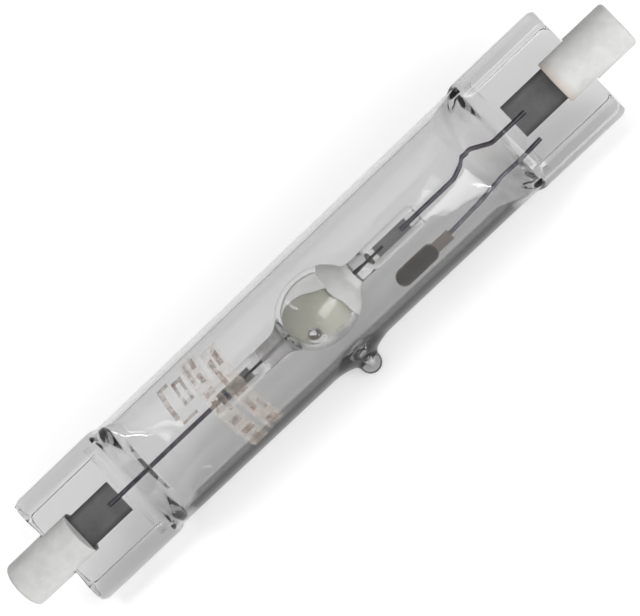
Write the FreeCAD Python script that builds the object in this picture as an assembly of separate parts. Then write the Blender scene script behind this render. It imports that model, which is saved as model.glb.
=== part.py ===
import FreeCAD, Part
import math
import os

V = FreeCAD.Vector

# Double-ended quartz metal halide lamp, in millimetres.
# It is drawn along X with both pinches flat in the XY plane and the exhaust tip towards -Y.
# Places along X are counted from the lamp's middle. The last step lays the lamp down as it rests.

overall_length = 137.0

# Outer jacket: a round quartz tube, pressed flat at both ends
# The leads here are how far before the flat of the pinch a feature lies.
jacket_radius = 10.75
jacket_wall = 1.2
jacket_pinch_set_back = 8.8
jacket_pinch_length = 17.2
jacket_round_lead = 8.9
jacket_crest_lead = 6.2
jacket_crest_height = 9.3
jacket_crest_bend = 3.2
jacket_flat_bend = 2.4
jacket_pinch_width = 22.5
jacket_web = 2.7
jacket_bead = 4.0
jacket_bead_width = 3.0
jacket_bead_lead = 3.1
jacket_bead_round = 1.3
jacket_bead_blend = 0.7
jacket_pinch_corner = 1.1
jacket_neck_corner = 2.8

# Exhaust tip, where the jacket was pumped and sealed off
tip_place = 1.2
tip_radius = 1.95
tip_height = 3.64
tip_flare = 0.7
tip_flare_angle = 52.0
tip_funnel_radius = 1.0
tip_funnel_reach = 2.1

# Burner: the small inner arc tube
burner_middle = 1.15
burner_half_length = 7.75
burner_radius = 6.45
burner_turn = 60.0
burner_wall = 1.1
burner_neck_radius = 2.1
burner_left_blend = 4.2
burner_right_blend = 1.6
burner_left_neck_end = 11.6
burner_right_neck_end = 11.4
burner_shoulder_length = 2.0
burner_shoulder_bend = 0.8
burner_left_end = 23.2
burner_right_end = 23.7
burner_pinch_width = 4.4
burner_web = 1.5
burner_bead = 2.2
burner_bead_width = 0.9
burner_pinch_corner = 0.5

# Nub left where the burner was dosed and sealed off
nub_place = -1.3
nub_tilt = 64.0
nub_radius = 0.85
nub_height = 0.95
nub_flare = 0.5
nub_flare_angle = 60.0

# Electrodes
arc_gap = 9.0
rod_radius = 0.25
rod_lap = 1.6
coil_thickness = 0.32
coil_length = 1.4
coil_set_back = 0.3

# Burner foils
burner_foil_width = 2.4
burner_foil_thickness = 0.06
burner_foil_edge = 0.35
burner_foil_start = 14.4
burner_foil_end = 21.6

# Jacket foils
seal_foil_width = 6.5
seal_foil_thickness = 0.08
seal_foil_edge = 0.6
seal_foil_length = 12.2
seal_foil_set_back = 2.2

# Lead wires between the foils, and pins out to the contacts.
# The kink's sizes are shares of the lead's free run, from the burner's end to the flat of the pinch.
lead_radius = 0.4
lead_lap = 2.5
lead_burner_lap = 1.8
kink_start_share = 0.436
kink_apex_share = 0.681
kink_end_share = 0.867
kink_height_share = 0.101
kink_bend_share = 0.138
kink_apex_bend_share = 0.075
pin_radius = 0.45
pin_lap = 2.4

# Getter pellet pressed in a metal tray on its own wire
getter_start = 13.7
getter_length = 8.7
getter_width = 3.0
getter_end_flat = 0.02
getter_offset = 6.1
tray_wall = 0.2
tray_depth = 0.9
pellet_height = 0.6
tab_end = 25.4
tab_width = 1.9
getter_wire_radius = 0.38
getter_wire_lap = 2.4
getter_wire_land = 0.24
getter_wire_hold = 4.2
getter_wire_end_offset = 4.9

# Ceramic caps, cemented on the pinches
cap_radius = 4.35
cap_length = 14.0
cap_chamfer = 0.5
cap_slot_gap = 0.3
cap_bore_radius = 2.0
recess_radius = 2.5
recess_depth = 2.8
cement_inset = 0.4

# Contact buttons at the bottom of the recesses
button_gap = 0.1
button_flange = 0.6
button_crown = 0.35
button_crown_radius = 1.3
button_socket = 0.35

# Frozen salts and mercury inside the burner
salt_depth = 0.3
salt_radius = 3.7
salt_direction = V(-0.18, -0.42, 0.85)
mercury_radius = 0.62
mercury_clearance = 0.03

# Steps into which turned outlines and bends are divided, per arc
LONG_STEPS = 3
END_STEPS = 2
CAVITY_END_STEPS = 1
BLEND_STEPS = 2
TIP_STEPS = 4
NUB_STEPS = 2

# Places that follow from the sizes above
half_length = overall_length / 2
jacket_pinch_end = half_length - jacket_pinch_set_back
jacket_flat_start = jacket_pinch_end - jacket_pinch_length
jacket_bead_start = jacket_flat_start - jacket_bead_lead
seal_foil_end = jacket_pinch_end - seal_foil_set_back
seal_foil_start = seal_foil_end - seal_foil_length
lead_run = jacket_flat_start - burner_right_end
getter_wire_end = jacket_flat_start + getter_wire_hold
tip_centre = jacket_radius + tip_height - tip_radius
rest_tilt = math.degrees(math.asin((jacket_radius - tip_radius) / tip_centre))


def arc_points(centre, radius, first_angle, last_angle, steps):
    """Points in the XY plane on an arc round the centre, both ends included."""
    points = []
    for i in range(steps + 1):
        angle = math.radians(first_angle + (last_angle - first_angle) * i / steps)
        points.append(centre + V(radius * math.cos(angle), radius * math.sin(angle), 0))
    return points


def rounded_path(points, bends):
    """Straight edges through the points, with a tangent arc of its own radius at each inner point."""
    edges = []
    here = points[0]
    for i in range(1, len(points) - 1):
        back = (points[i - 1] - points[i]).normalize()
        ahead = (points[i + 1] - points[i]).normalize()
        half_angle = back.getAngle(ahead) / 2
        reach = bends[i - 1] / math.tan(half_angle)
        first = points[i] + back * reach
        last = points[i] + ahead * reach
        inward = (back + ahead).normalize()
        middle = points[i] + inward * (bends[i - 1] / math.sin(half_angle) - bends[i - 1])
        edges.append(Part.LineSegment(here, first).toShape())
        edges.append(Part.Arc(first, middle, last).toShape())
        here = last
    edges.append(Part.LineSegment(here, points[-1]).toShape())
    return edges


def inset_corner(before, corner, after, distance):
    """Corner of a path in the XZ plane after both of its sides have moved inwards by the distance."""
    sides = [(corner - before).normalize(), (after - corner).normalize()]
    normals = [V(side.z, 0, -side.x) for side in sides]
    return corner + (normals[0] + normals[1]) * (distance / (1 + normals[0].dot(normals[1])))


def pressed_bar(radius, upper, bends):
    """Round bar from x = 0, squeezed flat by two jaws: the upper jaw's face runs through the points."""
    flipped = [V(p.x, 0, -p.z) for p in upper]
    edges = rounded_path(upper, bends)
    if upper[-1].z > 0:
        edges.append(Part.LineSegment(upper[-1], flipped[-1]).toShape())
    edges += rounded_path(flipped, bends)
    edges.append(Part.LineSegment(flipped[0], upper[0]).toShape())
    face = Part.Face(Part.Wire(Part.__sortEdges__(edges)))
    face.translate(V(0, -radius * 2, 0))
    return face.extrude(V(0, radius * 4, 0)).common(rod(0, upper[-1].x, radius))


def upright_edges(shape, place):
    """Edges along Z whose middle lies at the place along X."""
    upright = [e for e in shape.Edges if abs(e.tangentAt(e.FirstParameter).z) > 0.99]
    return [e for e in upright if abs(e.CenterOfMass.x - place) < 1e-6]


def lengthwise_edges(shape):
    return [e for e in shape.Edges if abs(e.tangentAt(e.FirstParameter).x) > 0.99]


def rounded_plate(start, end, width, thickness, start_corner, end_corner):
    """Flat plate along X, its corners rounded in plan."""
    plate = Part.makeBox(end - start, width, thickness, V(start, -width / 2, -thickness / 2))
    plate = plate.makeFillet(end_corner, upright_edges(plate, end))
    return plate.makeFillet(start_corner, upright_edges(plate, start))


def bead_bars(start, end, width, bead, bead_width):
    """Two square bars along the sides of a pinch of the given width."""
    lows = (-width / 2, width / 2 - bead_width)
    return [Part.makeBox(end - start, bead_width, bead, V(start, low, -bead / 2)) for low in lows]


def pinch(start, end, width, web, bars, bead_width):
    """Pressed seal along X: a thin web that reaches into the thicker bar along each side."""
    body = Part.makeBox(end - start, width - bead_width, web, V(start, (bead_width - width) / 2, -web / 2))
    return body.fuse(bars).removeSplitter()


def foil(start, end, width, thickness, edge):
    """Seal foil along X, its long sides feathered to knife edges."""
    half = width / 2
    flat = half - edge
    z = thickness / 2
    points = [(half, 0), (flat, z), (-flat, z), (-half, 0), (-flat, -z), (flat, -z), (half, 0)]
    outline = Part.makePolygon([V(start, y, z) for y, z in points])
    return Part.Face(outline).extrude(V(end - start, 0, 0))


def rod(start, end, radius):
    """Round wire along X."""
    return Part.makeCylinder(radius, end - start, V(start, 0, 0), V(1, 0, 0))


def lap(wire, start, end, radius, foil_thickness):
    """Cuts the wire's stretch from start to end flat, so that it lies on its foil."""
    reach = radius * 2
    below = Part.makeBox(end - start, reach * 2, reach + foil_thickness / 2, V(start, -reach, -reach))
    return wire.cut(below)


def bent_wire(points, bends, radius):
    """Round wire through points in the XY plane, bent to a radius of its own at each inner point."""
    corners = [points[0]]
    for edge in rounded_path(points, bends)[1::2]:
        corners += edge.discretize(BLEND_STEPS + 1)
    path = Part.makePolygon(corners + [points[-1]])
    section = Part.Wire(Part.Circle(points[0], points[1] - points[0], radius).toShape())
    return path.makePipeShell([section], True, False, 1)


def mirrored(shape):
    return shape.mirror(V(0, 0, 0), V(1, 0, 0))


def jaw_path():
    """Upper jaw's face over the jacket's right half, from above the tube's middle to the pinch's end."""
    crest = V(jacket_flat_start - jacket_crest_lead, 0, jacket_crest_height)
    shoulder = V(jacket_flat_start - jacket_round_lead, 0, jacket_radius)
    above = shoulder + (shoulder - crest)
    return [
        V(0, 0, above.z),
        above,
        crest,
        V(jacket_flat_start, 0, jacket_web / 2),
        V(jacket_pinch_end, 0, jacket_web / 2),
    ]


def jacket_half():
    """Outside of the jacket's right half: round tube, shoulder and beaded pinch."""
    body = pressed_bar(jacket_radius, jaw_path(), [jacket_crest_bend, jacket_crest_bend, jacket_flat_bend])
    start = jacket_bead_start
    end = jacket_pinch_end
    bars = bead_bars(start, end, jacket_pinch_width, jacket_bead, jacket_bead_width)
    bars = [bar.makeFillet(jacket_bead_round, lengthwise_edges(bar)) for bar in bars]
    seal = pinch(start, end, jacket_pinch_width, jacket_web, bars, jacket_bead_width)
    creases = [e for e in lengthwise_edges(seal) if abs(abs(e.CenterOfMass.z) - jacket_web / 2) < 1e-6]
    bead_middle = (jacket_pinch_width - jacket_bead_width) / 2
    creases = [e for e in creases if abs(e.CenterOfMass.y) < bead_middle]
    seal = seal.makeFillet(jacket_bead_blend, creases)
    corners = rounded_plate(
        start, end, jacket_pinch_width, jacket_bead * 2, jacket_neck_corner, jacket_pinch_corner
    )
    return body.fuse(seal.common(corners))


def cavity_half():
    """Right half of the space inside the jacket, one wall in, closing to a crease where the walls fused."""
    start, above, crest, flat, end = jaw_path()
    low = inset_corner(crest, flat, end, jacket_wall)
    top = inset_corner(above, crest, flat, jacket_wall)
    slope = (low - top).normalize()
    crease = top + slope * (top.z / -slope.z)
    upper = V(above.x, 0, above.z) + (top - crest)
    bend = jacket_crest_bend - jacket_wall
    return pressed_bar(jacket_radius - jacket_wall, [V(0, 0, upper.z), upper, top, crease], [bend, bend])


def turned(points):
    """Solid of an outline in the upper XY half-plane, closed along X and turned about it."""
    face = Part.Face(Part.makePolygon(points + [points[0]]))
    return face.revolve(V(0, 0, 0), V(1, 0, 0), 360)


def drop(centre_height, radius, flare, flare_angle, foot, dome_steps):
    """Sealed-off stub along +X: a round end on a flare that widens down to its foot."""
    flare_centre = V(centre_height, radius + flare, 0)
    waist = arc_points(flare_centre, flare, 270, 270 - flare_angle, BLEND_STEPS)
    last = waist[-1]
    widen = math.tan(math.radians(flare_angle))
    low = V(foot, last.y + (last.x - foot) * widen, 0)
    dome = arc_points(V(centre_height, 0, 0), radius, 90, 0, dome_steps)
    return turned([V(foot, 0, 0), low] + waist[:0:-1] + dome)


def pointing(shape, root, out):
    """Shape drawn along +X, set on the root so that it points out."""
    placed = shape.copy()
    placed.Placement = FreeCAD.Placement(root, FreeCAD.Rotation(V(1, 0, 0), out))
    return placed


def outer_jacket(pockets):
    half = jacket_half()
    body = half.fuse(mirrored(half)).removeSplitter()
    root = V(tip_place, 0, 0)
    out = V(0, -1, 0)
    inner = jacket_radius - jacket_wall
    foot = jacket_radius * math.sin(math.radians(tip_flare_angle))
    tip = drop(tip_centre, tip_radius, tip_flare, tip_flare_angle, foot, TIP_STEPS)
    body = body.fuse(pointing(tip, root, out))
    space = cavity_half()
    funnel_start = inner - tip_funnel_radius / 2
    funnel = Part.makeCone(
        tip_funnel_radius, 0, jacket_radius + tip_funnel_reach - funnel_start, root + out * funnel_start, out
    )
    space = space.fuse(mirrored(space)).removeSplitter().fuse(funnel)
    return body.cut(space).cut(pockets)


def ball_arcs(inset):
    """Centres and radii of the ball's end arcs and its long arc, which meet at the angle burner_turn."""
    reach = burner_half_length - inset
    radius = burner_radius - inset
    fan = math.tan(math.radians(45 - burner_turn / 2))
    end_radius = (radius - reach * fan) / (1 - fan)
    end_offset = reach - end_radius
    long_radius = end_radius + end_offset / math.cos(math.radians(burner_turn))
    left = V(burner_middle - end_offset, 0, 0)
    right = V(burner_middle + end_offset, 0, 0)
    return left, right, end_radius, V(burner_middle, radius - long_radius, 0), long_radius


def burner_ball():
    """Ball with a round neck blended into each end."""
    left, right, end_radius, top, long_radius = ball_arcs(0)
    neck = burner_neck_radius
    outline = [V(-burner_left_neck_end, 0, 0), V(-burner_left_neck_end, neck, 0)]
    root = burner_left_blend
    meet = math.degrees(math.asin((neck + root) / (end_radius + root)))
    away = (end_radius + root) * math.cos(math.radians(meet))
    outline += arc_points(V(left.x - away, neck + root, 0), root, 270, 360 - meet, BLEND_STEPS)
    outline += arc_points(left, end_radius, 180 - meet, 180 - burner_turn, END_STEPS)[1:]
    outline += arc_points(top, long_radius, 180 - burner_turn, burner_turn, LONG_STEPS)[1:]
    root = burner_right_blend
    meet = math.degrees(math.asin((neck + root) / (end_radius + root)))
    away = (end_radius + root) * math.cos(math.radians(meet))
    outline += arc_points(right, end_radius, burner_turn, meet, END_STEPS)[1:]
    outline += arc_points(V(right.x + away, neck + root, 0), root, 180 + meet, 270, BLEND_STEPS)[1:]
    outline += [V(burner_right_neck_end, neck, 0), V(burner_right_neck_end, 0, 0)]
    return turned(outline)


def burner_end(neck_end, pinch_end):
    """Right-hand neck, shoulder and pinch of the burner."""
    flat = burner_web / 2
    flat_start = neck_end + burner_shoulder_length
    steep = V(flat_start, 0, flat) - V(neck_end, 0, burner_neck_radius)
    above = V(neck_end, 0, burner_neck_radius) - steep
    jaw = [V(0, 0, above.z), above, V(flat_start, 0, flat), V(pinch_end, 0, flat)]
    body = pressed_bar(burner_neck_radius, jaw, [burner_shoulder_bend, burner_shoulder_bend])
    body = body.common(rod(burner_middle + burner_half_length, pinch_end, burner_neck_radius))
    start = neck_end + burner_shoulder_length / 2
    bars = bead_bars(start, pinch_end, burner_pinch_width, burner_bead, burner_bead_width)
    seal = pinch(start, pinch_end, burner_pinch_width, burner_web, bars, burner_bead_width)
    corners = rounded_plate(
        start, pinch_end, burner_pinch_width, burner_bead * 2, burner_pinch_corner, burner_pinch_corner
    )
    return body.fuse(seal.common(corners))


def burner_cavity(inset):
    """Space inside the ball, by the inset inside its outside."""
    left, right, end_radius, top, long_radius = ball_arcs(inset)
    outline = arc_points(left, end_radius, 180, 180 - burner_turn, CAVITY_END_STEPS)
    outline += arc_points(top, long_radius, 180 - burner_turn, burner_turn, LONG_STEPS)[1:]
    outline += arc_points(right, end_radius, burner_turn, 0, CAVITY_END_STEPS)[1:]
    return turned(outline)


def burner_surface(x):
    """Radius of the ball's long arc at a place along X."""
    top, long_radius = ball_arcs(0)[3:]
    return top.y + math.sqrt(long_radius ** 2 - (x - burner_middle) ** 2)


def middle_radius(inset):
    """Radius of the flat band round the ball's middle, by the inset inside its outside."""
    top, long_radius = ball_arcs(inset)[3:]
    return top.y + long_radius * math.cos(math.radians((90 - burner_turn) / LONG_STEPS))


def nub_axis():
    """Foot of the nub on the lamp's axis, the direction it points in, and the height of the ball there."""
    out = V(0, -math.cos(math.radians(nub_tilt)), math.sin(math.radians(nub_tilt)))
    return V(nub_place, 0, 0), out, burner_surface(nub_place)


def burner_vessel(pockets):
    root, out, rise = nub_axis()
    foot = rise - burner_wall / 2
    nub = drop(rise + nub_height - nub_radius, nub_radius, nub_flare, nub_flare_angle, foot, NUB_STEPS)
    left = mirrored(burner_end(burner_left_neck_end, burner_left_end))
    right = burner_end(burner_right_neck_end, burner_right_end)
    body = burner_ball().fuse([pointing(nub, root, out), left, right])
    return body.cut(burner_cavity(burner_wall)).cut(pockets)


def electrode_rod():
    """Right-hand tungsten rod, from the arc gap to its foil."""
    start = burner_middle + arc_gap / 2
    end = burner_foil_start + rod_lap
    return lap(rod(start, end, rod_radius), burner_foil_start, end, rod_radius, burner_foil_thickness)


def electrode_coil(side):
    """Tungsten coil wound tight on the rod behind its tip, drawn as the sleeve that its turns fill."""
    near = arc_gap / 2 + coil_set_back
    start = burner_middle + (near if side > 0 else -near - coil_length)
    return rod(start, start + coil_length, rod_radius + coil_thickness).cut(rod(start, start + coil_length, rod_radius))


def lead_points():
    """Route of the right lead, with its kink away from the getter."""
    start = burner_foil_end - lead_burner_lap
    end = seal_foil_start + lead_lap
    return [
        V(start, 0, 0),
        V(burner_right_end + lead_run * kink_start_share, 0, 0),
        V(burner_right_end + lead_run * kink_apex_share, lead_run * kink_height_share, 0),
        V(burner_right_end + lead_run * kink_end_share, 0, 0),
        V(end, 0, 0),
    ]


def flattened_lead(wire):
    """Lead with both ends lapped on their foils."""
    inner = burner_foil_end - lead_burner_lap
    wire = lap(wire, inner, burner_foil_end, lead_radius, burner_foil_thickness)
    return lap(wire, seal_foil_start, seal_foil_start + lead_lap, lead_radius, seal_foil_thickness)


def lead_straight():
    start = burner_foil_end - lead_burner_lap
    return flattened_lead(rod(start, seal_foil_start + lead_lap, lead_radius))


def lead_kinked():
    outer_bend = lead_run * kink_bend_share
    bends = [outer_bend, lead_run * kink_apex_bend_share, outer_bend]
    return flattened_lead(bent_wire(lead_points(), bends, lead_radius))


def contact_back():
    """Place along X of the button's inner face, which is the recess's floor."""
    return half_length - recess_depth


def contact_pin():
    start = seal_foil_end - pin_lap
    end = contact_back() + button_socket
    return lap(rod(start, end, pin_radius), start, seal_foil_end, pin_radius, seal_foil_thickness)


def getter_outline(inset, height, base):
    """Stadium-shaped plate lying over the getter wire's end."""
    length = getter_length - inset * 2
    width = getter_width - inset * 2
    start = getter_start + inset
    box = Part.makeBox(length, width, height, V(start, -getter_offset - width / 2, base))
    upright = [e for e in box.Edges if abs(e.tangentAt(e.FirstParameter).z) > 0.99]
    return box.makeFillet((width - getter_end_flat) / 2, upright)


def getter_holder():
    """Pressed metal tray with the tab that is welded on the wire."""
    tray = getter_outline(0, tray_depth, getter_wire_land)
    hollow = getter_outline(tray_wall, tray_depth, getter_wire_land + tray_wall)
    tab_start = getter_start + getter_length / 2
    tab = Part.makeBox(
        tab_end - tab_start, tab_width, tray_wall, V(tab_start, -getter_offset - tab_width / 2, getter_wire_land)
    )
    return tray.fuse(tab).cut(hollow)


def getter_pellet():
    return getter_outline(tray_wall, pellet_height, getter_wire_land + tray_wall)


def getter_wire():
    """Support wire, its inner end flat under the tab and its outer end sealed in the right pinch."""
    start = V(tab_end - getter_wire_lap, -getter_offset, 0)
    end = V(getter_wire_end, -getter_wire_end_offset, 0)
    wire = Part.makeCylinder(getter_wire_radius, (end - start).Length, start, end - start)
    reach = getter_wire_radius * 4
    above = Part.makeBox(
        getter_wire_lap + reach, reach * 2, reach, V(start.x - reach, start.y - reach, getter_wire_land)
    )
    return wire.cut(above)


def ceramic_cap():
    """Right-hand cap: turned cylinder, slotted over the pinch, bored for the pin and recessed for the contact."""
    start = half_length - cap_length
    slot_floor = jacket_pinch_end + cap_slot_gap
    slot_height = jacket_web + cap_slot_gap * 2
    body = Part.makeCylinder(cap_radius, cap_length, V(start, 0, 0), V(1, 0, 0))
    rims = [e for e in body.Edges if abs(e.BoundBox.XLength) < 1e-6 and e.CenterOfMass.x > start + cap_chamfer]
    body = body.makeChamfer(cap_chamfer, rims)
    slot = Part.makeBox(slot_floor - start, cap_radius * 2, slot_height, V(start, -cap_radius, -slot_height / 2))
    bore = rod(slot_floor, half_length, cap_bore_radius)
    recess = rod(contact_back(), half_length, recess_radius)
    return body.cut(slot.fuse([bore, recess]))


def cement():
    """Right-hand cement: thin layers on both sides of the pinch and the filling round the pin."""
    start = half_length - cap_length + cement_inset
    slot_floor = jacket_pinch_end + cap_slot_gap
    slot_height = jacket_web + cap_slot_gap * 2
    layer = Part.makeBox(slot_floor - start, cap_radius * 2, slot_height, V(start, -cap_radius, -slot_height / 2))
    layer = layer.common(rod(start, slot_floor, cap_radius - cement_inset))
    fill = rod(slot_floor, contact_back(), cap_bore_radius)
    web = Part.makeBox(
        jacket_pinch_end - start, jacket_pinch_width, jacket_web, V(start, -jacket_pinch_width / 2, -jacket_web / 2)
    )
    return layer.fuse(fill).removeSplitter().cut(web).cut(rod(start, half_length, pin_radius))


def contact_button():
    """Right-hand contact: a flange on the recess's floor with a raised middle."""
    back = contact_back()
    front = back + button_flange
    radius = recess_radius - button_gap
    outline = [
        V(back, 0, 0),
        V(back, radius, 0),
        V(front, radius, 0),
        V(front, button_crown_radius, 0),
        V(front + button_crown, button_crown_radius, 0),
        V(front + button_crown, 0, 0),
    ]
    return turned(outline).cut(rod(back, back + button_socket, pin_radius))


def halide_deposit():
    """Salts frozen in a patch on the burner's wall."""
    shell = burner_cavity(burner_wall).cut(burner_cavity(burner_wall + salt_depth))
    direction = V(salt_direction).normalize()
    patch = Part.makeCylinder(salt_radius, burner_half_length * 2, V(burner_middle, 0, 0), direction)
    return shell.common(patch)


def mercury_bead():
    """Liquid metal dose at the lowest point of the burner's cavity in the resting pose."""
    down = V(0, -math.sin(math.radians(rest_tilt)), -math.cos(math.radians(rest_tilt)))
    depth = middle_radius(burner_wall) - mercury_radius - mercury_clearance
    bead = turned(arc_points(V(0, 0, 0), mercury_radius, 180, 0, LONG_STEPS))
    bead.translate(V(burner_middle, 0, 0) + down * depth)
    return bead


def lay_down(shape):
    """Rolls the lamp about its axis until its tube and its tip both touch the ground, and lifts it onto it."""
    laid = shape.copy()
    laid.rotate(V(0, 0, 0), V(1, 0, 0), rest_tilt)
    laid.translate(V(0, 0, jacket_radius))
    return laid


def build():
    parts = {}
    parts["burner_foil_right"] = foil(
        burner_foil_start, burner_foil_end, burner_foil_width, burner_foil_thickness, burner_foil_edge
    )
    parts["seal_foil_right"] = foil(
        seal_foil_start, seal_foil_end, seal_foil_width, seal_foil_thickness, seal_foil_edge
    )
    parts["contact_pin_right"] = contact_pin()
    parts["ceramic_cap_right"] = ceramic_cap()
    parts["cement_right"] = cement()
    parts["contact_button_right"] = contact_button()
    for name in list(parts):
        parts[name.replace("_right", "_left")] = mirrored(parts[name])
    parts["electrode_rod_right"] = electrode_rod()
    left_rod = rod(-burner_foil_start - rod_lap, burner_middle - arc_gap / 2, rod_radius)
    parts["electrode_rod_left"] = lap(
        left_rod, -burner_foil_start - rod_lap, -burner_foil_start, rod_radius, burner_foil_thickness
    )
    parts["electrode_coil_right"] = electrode_coil(1)
    parts["electrode_coil_left"] = electrode_coil(-1)
    parts["lead_left"] = mirrored(lead_straight())
    parts["lead_right"] = lead_kinked()
    parts["getter_holder"] = getter_holder()
    parts["getter_pellet"] = getter_pellet()
    parts["getter_wire"] = getter_wire()

    def joined(names):
        return [parts[name + side] for name in names for side in ("_left", "_right")]

    parts["burner_vessel"] = burner_vessel(joined(["burner_foil", "electrode_rod", "lead"]))
    jacket_inserts = joined(["seal_foil", "contact_pin", "lead"])
    parts["outer_jacket"] = outer_jacket(jacket_inserts + [parts["getter_wire"]])
    parts["halide_deposit"] = halide_deposit()
    parts["mercury_bead"] = mercury_bead()
    return parts


os.makedirs("parts", exist_ok=True)
for name, shape in build().items():
    lay_down(shape).exportStep("parts/" + name + ".step")
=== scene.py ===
import math

import bpy
import numpy as np
from mathutils import Matrix, Vector


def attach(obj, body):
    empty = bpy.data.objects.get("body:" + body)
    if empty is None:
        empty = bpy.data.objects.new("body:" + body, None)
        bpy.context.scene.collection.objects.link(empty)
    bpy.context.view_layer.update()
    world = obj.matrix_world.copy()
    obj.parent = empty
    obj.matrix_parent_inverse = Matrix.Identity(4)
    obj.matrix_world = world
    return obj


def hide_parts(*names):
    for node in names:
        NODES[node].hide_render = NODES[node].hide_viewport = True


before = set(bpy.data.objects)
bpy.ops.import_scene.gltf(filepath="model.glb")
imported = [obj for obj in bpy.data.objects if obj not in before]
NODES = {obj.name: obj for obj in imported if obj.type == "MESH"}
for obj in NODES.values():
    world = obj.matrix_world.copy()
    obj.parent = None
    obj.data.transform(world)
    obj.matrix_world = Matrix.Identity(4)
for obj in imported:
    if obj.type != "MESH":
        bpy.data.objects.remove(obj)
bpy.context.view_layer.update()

# The lamp is drawn along X with both pinches flat in the XY plane and the exhaust tip towards -Y,
# in millimetres, and then laid down as the frame has it.
R = 10.75
WALL = 1.2
TIP_HEIGHT = 3.64
TIP_R = 1.95
TILT = math.asin((R - TIP_R) / (R + TIP_HEIGHT - TIP_R))
CT, ST = math.cos(TILT), math.sin(TILT)


def laid(points):
    p = np.asarray(points, float)
    x, y, z = p[:, 0], p[:, 1], p[:, 2]
    return np.stack([x, y * CT - z * ST, y * ST + z * CT + R], 1) / 1000


def mesh_object(name, points, faces, smooth=True):
    me = bpy.data.meshes.new(name)
    me.from_pydata(laid(points).tolist(), [], [list(map(int, f)) for f in faces])
    me.validate()
    me.update()
    if smooth:
        me.polygons.foreach_set("use_smooth", [True] * len(me.polygons))
    obj = bpy.data.objects.new(name, me)
    bpy.context.scene.collection.objects.link(obj)
    return obj


def soft_edges(obj, degrees=32):
    """Flat shading across sharp edges, smooth elsewhere."""
    me = obj.data
    me.set_sharp_from_angle(angle=math.radians(degrees))


# Profiles

def smooth_path(points, bends, steps=10):
    """Polyline through points with tangent arcs at the inner ones."""
    out = [np.array(points[0], float)]
    for i in range(1, len(points) - 1):
        p = np.array(points[i], float)
        a = np.array(points[i - 1], float) - p
        b = np.array(points[i + 1], float) - p
        a /= np.linalg.norm(a)
        b /= np.linalg.norm(b)
        half = math.acos(np.clip(a @ b, -1, 1)) / 2
        r = bends[i - 1]
        reach = r / math.tan(half)
        first, last = p + a * reach, p + b * reach
        mid = (a + b) / np.linalg.norm(a + b)
        centre = p + mid * r / math.sin(half)
        u, v = first - centre, last - centre
        ang = math.atan2(u[0] * v[1] - u[1] * v[0], u @ v)
        for k in range(steps + 1):
            t = ang * k / steps
            c, s = math.cos(t), math.sin(t)
            out.append(centre + np.array([c * u[0] - s * u[1], s * u[0] + c * u[1]]))
    out.append(np.array(points[-1], float))
    return np.array(out)


def softmin(a, b, k):
    """Smaller of a and b, blended over about k."""
    h = np.clip(0.5 + 0.5 * (b - a) / k, 0, 1)
    return b * (1 - h) + a * h - k * h * (1 - h)


def section(halves, n):
    """Closed outline of n evenly spaced points (n a multiple of 4) from samples (y, z) of its upper half."""
    y, z = halves
    d = np.hypot(np.diff(y), np.diff(z))
    s = np.concatenate([[0], np.cumsum(d)])
    t = np.linspace(0, s[-1], n // 2 + 1)
    yy, zz = np.interp(t, s, y), np.interp(t, s, z)
    zz[0] = zz[-1] = 0
    return np.concatenate([yy, yy[-2:0:-1]]), np.concatenate([zz, -zz[-2:0:-1]])


def skin(rings, closed_ends=True, flip=False):
    """Points and faces of a skin over rings of equal length."""
    pts = np.concatenate(rings)
    n = len(rings[0])
    faces = []
    for i in range(len(rings) - 1):
        a, b = i * n, (i + 1) * n
        for j in range(n):
            k = (j + 1) % n
            faces.append([a + j, b + j, b + k, a + k])
    if closed_ends:
        for i, way in ((0, 1), (len(rings) - 1, -1)):
            base = i * n
            c = len(pts)
            pts = np.concatenate([pts, [rings[i].mean(0)]])
            for j in range(n):
                k = (j + 1) % n
                faces.append([c, base + j, base + k][::way])
    if not flip:
        faces = [f[::-1] for f in faces]
    return pts, faces


def turned(profile, n=64, flip=False):
    """Lathe about X of (x, r) points that begin and end on the axis."""
    start_x, end_x = profile[0][0], profile[-1][0]
    inner = [p for p in profile if p[1] > 1e-9]
    rings = []
    for x, r in inner:
        a = np.arange(n) * 2 * math.pi / n
        rings.append(np.stack([np.full(n, x), r * np.cos(a), r * np.sin(a)], 1))
    pts, faces = skin(rings, closed_ends=False, flip=flip)
    for i, x in ((0, start_x), (len(rings) - 1, end_x)):
        c = len(pts)
        pts = np.concatenate([pts, [[x, 0, 0]]])
        base = i * n
        for j in range(n):
            k = (j + 1) % n
            f = [c, base + j, base + k] if i == 0 else [c, base + k, base + j]
            faces.append(f if flip else f[::-1])
    return pts, faces


def merged(*meshes):
    pts, faces, base = [], [], 0
    for p, f in meshes:
        pts.append(np.asarray(p))
        faces += [[i + base for i in g] for g in f]
        base += len(p)
    return np.concatenate(pts), faces


# Outer jacket

ROUND_END, CREST_X, CREST_Z, CREST_BEND = 33.6, 36.3, 9.3, 3.6
FLAT_START, FLAT_BEND, PINCH_END = 42.5, 5.0, 59.7
PRESS_BLEND = 2.6
PW, WEB, BEAD, BEAD_W, BEAD_START = 22.5, 2.7, 4.0, 3.0, 39.4
TIP_PLACE = 1.2


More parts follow.
